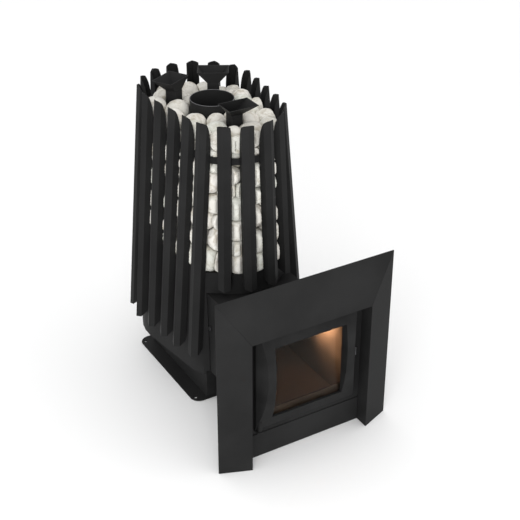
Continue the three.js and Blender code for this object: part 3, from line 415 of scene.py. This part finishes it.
def nearest_posts(spots):
    """For each upright thing among the stones: the way from its axis to each spot, and its radius."""
    x, y, z = spots.T
    beside_chamber = z < lid_top + LID_KEEP_CLEAR
    chamber_y = np.clip(y, chamber_low.y + chamber_radius, chamber_high.y - chamber_radius)
    axis_y = np.where(beside_chamber, chamber_y, 0)
    posts = [(x, y - axis_y, np.where(beside_chamber, chamber_radius, flue_radius) + STONE_GAP)]
    for duct_x, duct_y in duct_centres:
        posts.append((x - duct_x, y - duct_y, np.full(len(x), DUCT_KEEP_CLEAR)))
    return posts


def heap_top(spots):
    """The heap's height, with a dip at the back beside the right-hand funnel."""
    dip_x, dip_y = duct_centres[2]
    away = np.hypot(spots[:, 0] - dip_x, spots[:, 1] - dip_y - HEAP_DIP_BEHIND_DUCT)
    return HEAP_TOP - HEAP_DIP * np.exp(-((away / HEAP_DIP_REACH) ** 2))


def pushed_inside(spots, radii):
    """Moves the stones' centres back between slats, chamber, flue, ducts, shelf and heap top."""
    bulge = STONE_BULGE * BULGE_WHILE_SETTLING
    over = spots @ slat_facings.T + radii[:, None] - slat_distances - bulge
    shift = np.maximum(over.max(1), 0)
    spots -= slat_facings[over.argmax(1)] * shift[:, None]
    for way_x, way_y, post_radius in nearest_posts(spots):
        away = np.hypot(way_x, way_y) + NEVER_ZERO
        shift = np.maximum(post_radius + radii * POST_REACH - away, 0)
        spots[:, 0] += way_x / away * shift
        spots[:, 1] += way_y / away * shift
    spots[:, 2] = np.clip(spots[:, 2], stone_floor + radii, heap_top(spots) - radii)
    return spots


def settled_stones():
    """Centres and sizes of stones that were strewn at random and pushed one another apart."""
    draws = np.random.default_rng(STONE_SEED)
    radii = draws.uniform(STONE_RADIUS_SMALL, STONE_RADIUS_LARGE, STONE_COUNT)
    room_low, room_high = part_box("stone_shelf")
    spots = draws.uniform(
        (room_low.x, room_low.y, stone_floor), (room_high.x, room_high.y, HEAP_TOP), (STONE_COUNT, 3)
    )
    for _ in range(SETTLING_STEPS):
        spots = pushed_inside(spots, radii)
        gap = spots[:, None, :] - spots[None, :, :]
        apart = np.sqrt((gap**2).sum(2)) + NEVER_ZERO
        overlap = np.maximum(radii[:, None] + radii[None, :] - apart, 0)
        np.fill_diagonal(overlap, 0)
        spots += (gap / apart[:, :, None] * overlap[:, :, None]).sum(1) * SETTLING_PUSH
    return pushed_inside(spots, radii), radii


def touching_flats(index, spots, radii):
    """Directions and depths of the flats where a stone lies against its neighbours."""
    spot, radius = spots[index], radii[index]
    way = np.delete(spots, index, 0) - spot
    other = np.delete(radii, index)
    apart = np.linalg.norm(way, axis=1)
    close = apart < NEIGHBOUR_REACH * STONE_RADIUS_LARGE
    way, other, apart = way[close], other[close], apart[close]
    depths = (apart**2 + radius**2 - other**2) / (2 * apart) - STONE_GAP / 2
    return way / apart[:, None], np.maximum(depths, FLAT_LEAST_DEPTH * radius)


def open_flats(spot, radius, draws):
    """Directions and depths of a stone's other flats: towards slats and posts, below, and chips."""
    chips = draws.normal(size=(CHIP_COUNT, 3))
    directions = [slat_facings, chips / np.linalg.norm(chips, axis=1)[:, None], [[0, 0, -1.0]]]
    depths = [
        slat_distances + STONE_BULGE - slat_facings @ spot,
        radius * draws.uniform(*CHIP_DEPTHS, CHIP_COUNT),
        [spot[2] - stone_floor],
    ]
    for way_x, way_y, post_radius in nearest_posts(spot[None]):
        away = math.hypot(way_x[0], way_y[0])
        directions.append([[-way_x[0] / away, -way_y[0] / away, 0]])
        depths.append([away - post_radius[0]])
    depths = np.maximum(np.concatenate(depths), FLAT_LEAST_DEPTH * radius)
    return np.concatenate(directions), depths


def nearness(ball, directions, depths):
    """How strongly flats at the given depths, in radii, draw in each point of a ball."""
    toward = np.maximum(ball @ directions.T, FLAT_LEAST_TURN)
    return np.exp(-np.minimum(depths / toward, FLAT_FARTHEST) / STONE_EDGE_WEAR).sum(1)


def worn_lump(ball, index, spots, radii, draws):
    """A ball's points drawn in to flats with worn edges and rippled, and how far each lies hidden."""
    spot, radius = spots[index], radii[index]
    directions, depths = touching_flats(index, spots, radii)
    touching = nearness(ball, directions, depths / radius)
    directions, depths = open_flats(spot, radius, draws)
    drawn = touching + nearness(ball, directions, depths / radius)
    reach = STONE_CORNER_REACH if spot[2] < ring_top else HEAP_STONE_REACH
    drawn += math.exp(-reach / STONE_EDGE_WEAR)
    points = ball * (-STONE_EDGE_WEAR * np.log(drawn))[:, None]
    offset = draws.uniform(-RIPPLE_SPREAD, RIPPLE_SPREAD, 3)
    for i, p in enumerate(points):
        broad = noise.noise(Vector(p * RIPPLE_BROAD_RATE + offset))
        fine = noise.noise(Vector(p * RIPPLE_FINE_RATE + offset))
        points[i] *= RIPPLE_MEAN + RIPPLE_BROAD * broad + RIPPLE_FINE * fine
    return behind_slats(points * radius + spot), touching / drawn


ball_mesh = bmesh.new()
bmesh.ops.create_icosphere(ball_mesh, subdivisions=4, radius=1)
ball = np.array([corner.co for corner in ball_mesh.verts])
ball_faces = np.array([[corner.index for corner in face.verts] for face in ball_mesh.faces])
ball_mesh.free()
stone_spots, stone_radii = settled_stones()
stone_draws = np.random.default_rng(STONE_SEED + 1)
heap_points, heap_faces, heap_hidden = [], [], []
for index in range(STONE_COUNT):
    points, hidden = worn_lump(ball, index, stone_spots, stone_radii, stone_draws)
    heap_points.append(points)
    heap_hidden.append(hidden)
    heap_faces.append(ball_faces + index * len(ball))
heap = bpy.data.meshes.new("stone_heap")
heap.from_pydata(np.concatenate(heap_points).tolist(), [], np.concatenate(heap_faces).tolist())
heap.polygons.foreach_set("use_smooth", [True] * len(heap.polygons))
# Painted shade: the share of each point that lies against a neighbour darkens the stone in the joints, in
# place of the shade there.
joint_shade = heap.attributes.new("joint_shade", "FLOAT", "POINT")
joint_shade.data.foreach_set("value", np.concatenate(heap_hidden))
stones = bpy.data.objects.new("stone_heap", heap)
bpy.context.scene.collection.objects.link(stones)

STONE_TINTS = (
    (0.61, 0.59, 0.54, 1),
    (0.77, 0.75, 0.69, 1),
    (0.69, 0.70, 0.64, 1),
    (0.81, 0.78, 0.73, 1),
    (0.73, 0.71, 0.65, 1),
    (0.82, 0.80, 0.75, 1),
)
VEIN_STAIN = (0.62, 0.58, 0.51, 1)
# Tone of the painted shade in the joints between stones.
JOINT_SHADE_TONE = (0.55, 0.53, 0.49, 1)
NO_DARKENING = (1, 1, 1, 1)


def darkened(material, ground, darker_tone):
    """A ground colour multiplied by a darker tone; the veins and the painted shade in the joints both use
    it.
    """
    mixed = material.node_tree.nodes.new("ShaderNodeMix")
    mixed.data_type = "RGBA"
    mixed.blend_type = "MULTIPLY"
    mixed.inputs["Factor"].default_value = 1
    material.node_tree.links.new(ground, mixed.inputs["A"])
    material.node_tree.links.new(darker_tone, mixed.inputs["B"])
    return mixed.outputs["Result"]


def chalky_stone():
    """Pale stone: each lump its own tint, with brown veins, painted shade in the joints and a pitted
    skin.
    """
    material, shader = new_finish("chalky_stone")
    nodes = material.node_tree.nodes
    links = material.node_tree.links
    shader.inputs["Roughness"].default_value = 0.82
    shader.inputs["Specular IOR Level"].default_value = 0.3
    each = nodes.new("ShaderNodeNewGeometry")
    tints = nodes.new("ShaderNodeValToRGB")
    steps = tints.color_ramp.elements
    last = len(STONE_TINTS) - 1
    steps[0].color = STONE_TINTS[0]
    steps[1].color = STONE_TINTS[last]
    for number in range(1, last):
        steps.new(number / last).color = STONE_TINTS[number]
    links.new(each.outputs["Random Per Island"], tints.inputs["Fac"])
    veins = speckle(material, 38, 9)
    veins.inputs["Roughness"].default_value = 0.68
    veins.inputs["Distortion"].default_value = 0.6
    veined = toned(material, veins, 0.33, VEIN_STAIN, 0.52, NO_DARKENING)
    # Painted shade: the joints where stones touch are darkened towards this tone.
    joints = nodes.new("ShaderNodeAttribute")
    joints.attribute_name = "joint_shade"
    joint_shaded = toned(material, joints, 0.86, NO_DARKENING, 1.0, JOINT_SHADE_TONE)
    colour = darkened(material, darkened(material, tints.outputs["Color"], veined), joint_shaded)
    links.new(colour, shader.inputs["Base Color"])
    pits = speckle(material, 130, 8)
    links.new(relief(material, pits, 0.55, 0.0025), shader.inputs["Normal"])
    return material


heap.materials.append(chalky_stone())
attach(stones, "stove")
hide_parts("stones_left", "stones_right")

# Fire tunnel: a welded box of thick sheet from the firebox to the portal, held by side bolts.
# Its outside is painted; the collar at its front end is the flange that everything bolts to.
TUNNEL_SHEET = 0.004
BOLT_EDGE_ROUND = 0.0009
browned_steel = patchy_material(
    "browned_steel",
    dark=(0.062, 0.048, 0.039, 1),
    light=(0.098, 0.075, 0.060, 1),
    roughness=(0.6, 0.8),
    patches=9,
    grain=200,
    grain_depth=0.00004,
    metallic=0.1,
)
tunnel = finish_solid("fire_tunnel", satin_black)
tunnel.data.materials.append(browned_steel)
tunnel_low, tunnel_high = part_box("fire_tunnel")
tunnel_middle = (tunnel_low + tunnel_high) / 2
tunnel_half = (tunnel_high - tunnel_low) / 2 - Vector((1, 1, 1)) * TUNNEL_SHEET / 2
for face in tunnel.data.polygons:
    way = tunnel.matrix_world @ face.center - tunnel_middle
    inside = abs(way.x) < tunnel_half.x and abs(way.z) < tunnel_half.z
    face.material_index = 1 if inside else 0
finish_solid("tunnel_collar", satin_black, SHEET_EDGE_ROUND)
bolt_steel = patchy_material(
    "bolt_steel",
    dark=(0.05, 0.05, 0.052, 1),
    light=(0.11, 0.11, 0.115, 1),
    roughness=(0.3, 0.45),
    patches=60,
    grain=700,
    grain_depth=0.0002,
    metallic=0.8,
)
for node in ("tunnel_bolt_left", "tunnel_bolt_right"):
    finish_solid(node, bolt_steel, BOLT_EDGE_ROUND)

# Portal: three folded sheets, mitred at the upper corners, sloping out towards the door's recess.
# Welded from behind and ground, so only hair-fine mitre lines show in the paint.
PORTAL_EDGE_ROUND = 0.0003
for node in ("portal_left_leg", "portal_right_leg", "portal_top_bar"):
    finish_solid(node, satin_black, PORTAL_EDGE_ROUND)

# Fire door frame: a bowed iron casting with bevelled sides, hung on two pins at the left.
# It is painted, with the sandy skin of a casting under the paint.
DOOR_EDGE_ROUND = 0.0012
PIN_EDGE_ROUND = 0.0005
cast_black = patchy_material(
    "cast_black_paint",
    dark=shaded(BLACK_TONE, 0.7),
    light=shaded(BLACK_TONE, 1.1),
    roughness=(0.36, 0.5),
    patches=12,
    grain=520,
    grain_depth=0.0005,
    specular=BLACK_SPECULAR,
)
finish_solid("door_frame", cast_black, DOOR_EDGE_ROUND)
for node in ("hinge_bracket_upper", "hinge_bracket_lower"):
    finish_solid(node, satin_black, SHEET_EDGE_ROUND)
for node in ("hinge_pin_upper", "hinge_pin_lower", "door_catch"):
    finish_solid(node, bolt_steel, PIN_EDGE_ROUND)

# Door glass: a flat pane of heat-proof glass, browned by smoke, seated from behind.
# Two iron strips hold it, and a rope seal lies in the groove round the frame's back.
SMOKE_DEEP = (0.74, 0.62, 0.52, 1)
SMOKE_THIN = (0.86, 0.75, 0.65, 1)
RETAINER_EDGE_ROUND = 0.0008
ROPE_ROUND = 0.002


def smoked_glass():
    """Clear glass with a brown haze that drifts across the pane."""
    material, shader = new_finish("smoked_glass")
    shader.inputs["Transmission Weight"].default_value = 1
    shader.inputs["IOR"].default_value = 1.15
    shader.inputs["Roughness"].default_value = 0
    haze = speckle(material, 11, 6)
    brown = toned(material, haze, 0.3, SMOKE_DEEP, 0.7, SMOKE_THIN)
    material.node_tree.links.new(brown, shader.inputs["Base Color"])
    return material


finish_solid("door_glass", smoked_glass())
for node in ("glass_retainer_top", "glass_retainer_foot"):
    finish_solid(node, grate_iron, RETAINER_EDGE_ROUND)
rope_seal = patchy_material(
    "rope_seal",
    dark=(0.02, 0.02, 0.02, 1),
    light=(0.07, 0.068, 0.065, 1),
    roughness=(0.85, 0.98),
    patches=160,
    grain=600,
    grain_depth=0.002,
)
finish_solid("door_gasket", rope_seal, ROPE_ROUND)

# Ash drawer: a long sheet tray behind a front panel that closes the gap between the portal's legs.
# It slides in the duct, and its opening sets the draught.
finish_solid("ash_drawer", satin_black, SHEET_EDGE_ROUND)

# Studio: a pale floor that runs into a white surround, a broad lamp from the left and a soft fill.
# A small warm lamp stands in the tunnel for the glow behind the glass.
FLOOR_REACH = 9.0
FLOOR_BELOW_PLATE = 0.0005
WHITE = (1, 1, 1)
FIRE_TINT = (1.0, 0.68, 0.42)
EYE = Vector((-1.3167, -2.4785, 1.955))
EYE_DOWN = math.radians(30.25)
EYE_TURN = math.radians(-30.56)
EYE_LENS = 78.8
floor_mesh = bmesh.new()
bmesh.ops.create_circle(floor_mesh, cap_ends=True, segments=64, radius=FLOOR_REACH)
floor = placed_mesh("studio_floor", floor_mesh)
floor.location.z = -FLOOR_BELOW_PLATE
pale_floor, floor_shader = new_finish("pale_floor")
floor_shader.inputs["Base Color"].default_value = (0.9, 0.9, 0.9, 1)
floor_shader.inputs["Roughness"].default_value = 0.8
floor.data.materials.append(pale_floor)


def lamp(light, power, tint, place, aim):
    """Hangs a light in the studio and turns it to the spot that it lights."""
    light.energy = power
    light.color = tint
    holder = bpy.data.objects.new(light.name, light)
    holder.location = place
    holder.rotation_euler = (Vector(aim) - Vector(place)).to_track_quat("-Z", "Y").to_euler()
    bpy.context.scene.collection.objects.link(holder)


key = bpy.data.lights.new("key_lamp", "AREA")
key.size = 1.8
lamp(key, power=52, tint=WHITE, place=(-1.9, -2.9, 1.7), aim=(0, 0, 0.45))
fill = bpy.data.lights.new("fill_lamp", "AREA")
fill.size = 2.2
lamp(fill, power=3, tint=WHITE, place=(2.2, -2.2, 1.5), aim=(0, 0, 0.4))
glow = bpy.data.lights.new("fire_glow", "SPOT")
glow.shadow_soft_size = 0.01
glow.spot_size = math.radians(105)
glow.spot_blend = 1
lamp(glow, power=15, tint=FIRE_TINT, place=(0.062, -0.355, 0.335), aim=(0.121, -0.37, 0.308))
studio = bpy.data.worlds.new("white_studio")
studio.use_nodes = True
surround = studio.node_tree.nodes["Background"]
surround.inputs["Color"].default_value = (1, 1, 1, 1)
surround.inputs["Strength"].default_value = 1.1
bpy.context.scene.world = studio
bpy.context.scene.view_settings.view_transform = "Standard"
eye_data = bpy.data.cameras.new("photo_view")
eye_data.lens = EYE_LENS
eye_data.sensor_width = 36
eye = bpy.data.objects.new("photo_view", eye_data)
eye.location = EYE
eye.rotation_euler = (math.pi / 2 - EYE_DOWN, 0, EYE_TURN)
bpy.context.scene.collection.objects.link(eye)
bpy.context.scene.camera = eye
